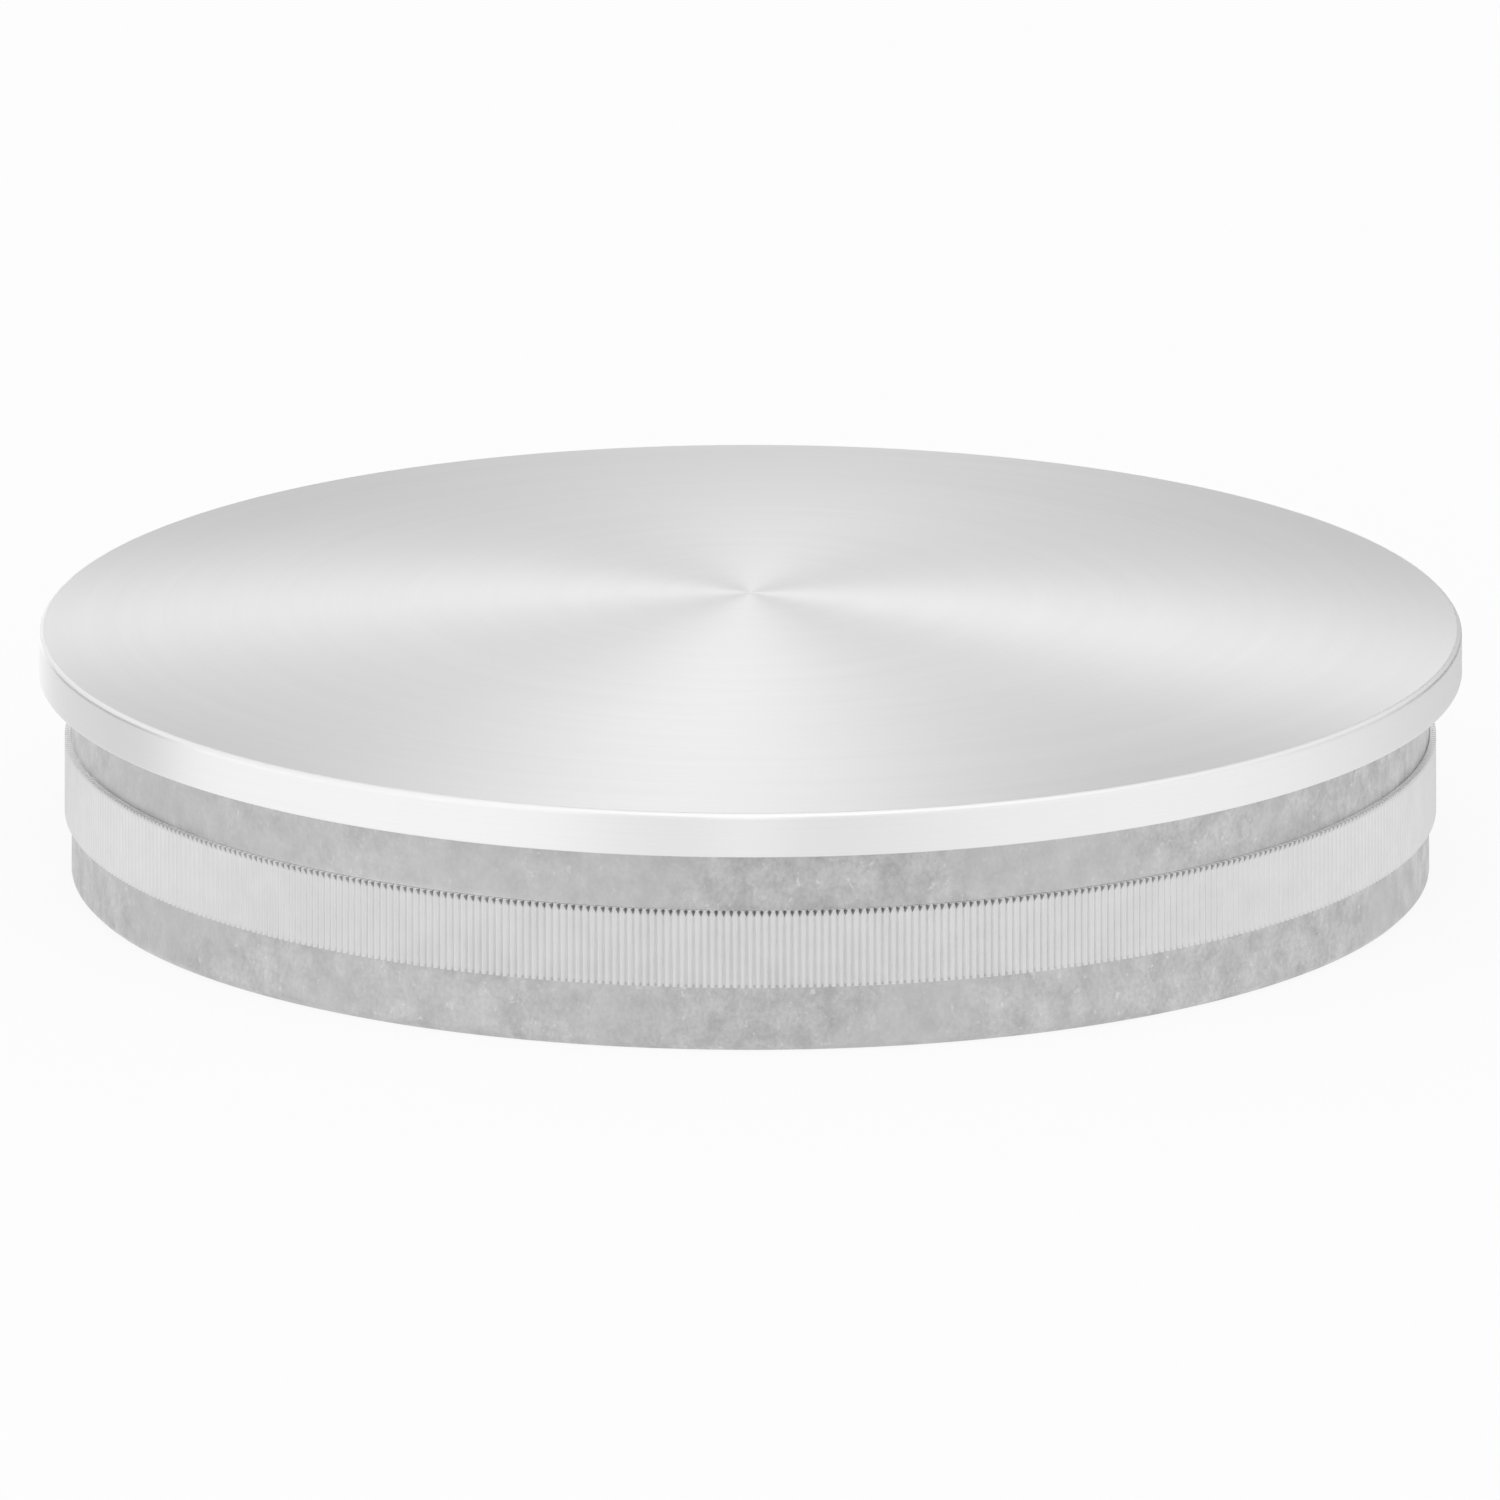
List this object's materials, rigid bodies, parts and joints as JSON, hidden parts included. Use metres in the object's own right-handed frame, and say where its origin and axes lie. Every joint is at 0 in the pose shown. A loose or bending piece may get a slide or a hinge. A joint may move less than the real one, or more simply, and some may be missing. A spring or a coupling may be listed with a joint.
{
  "type": "domed tube end cap",
  "caption": "Round metal end cap for a tube: a flange with a shallow brushed dome over a hollow plug, whose knurled band is pressed into the tube's bore.",
  "frame": {"origin": "centre of the rim of the plug, which is the lowest face, on the cap's axis", "axes": "+Z along the cap's axis, from the rim of the plug up to the top of the dome; +X and +Y lie across it"},
  "size_m": [0.1016, 0.1016, 0.0209],
  "materials": {
    "stainless_steel": "circular brushing on the dome, fine turning on the flange, straight knurl, as-cast plug"
  },
  "bodies": {
    "root": {"end_cap": "stainless_steel"}
  },
  "joints": []
}
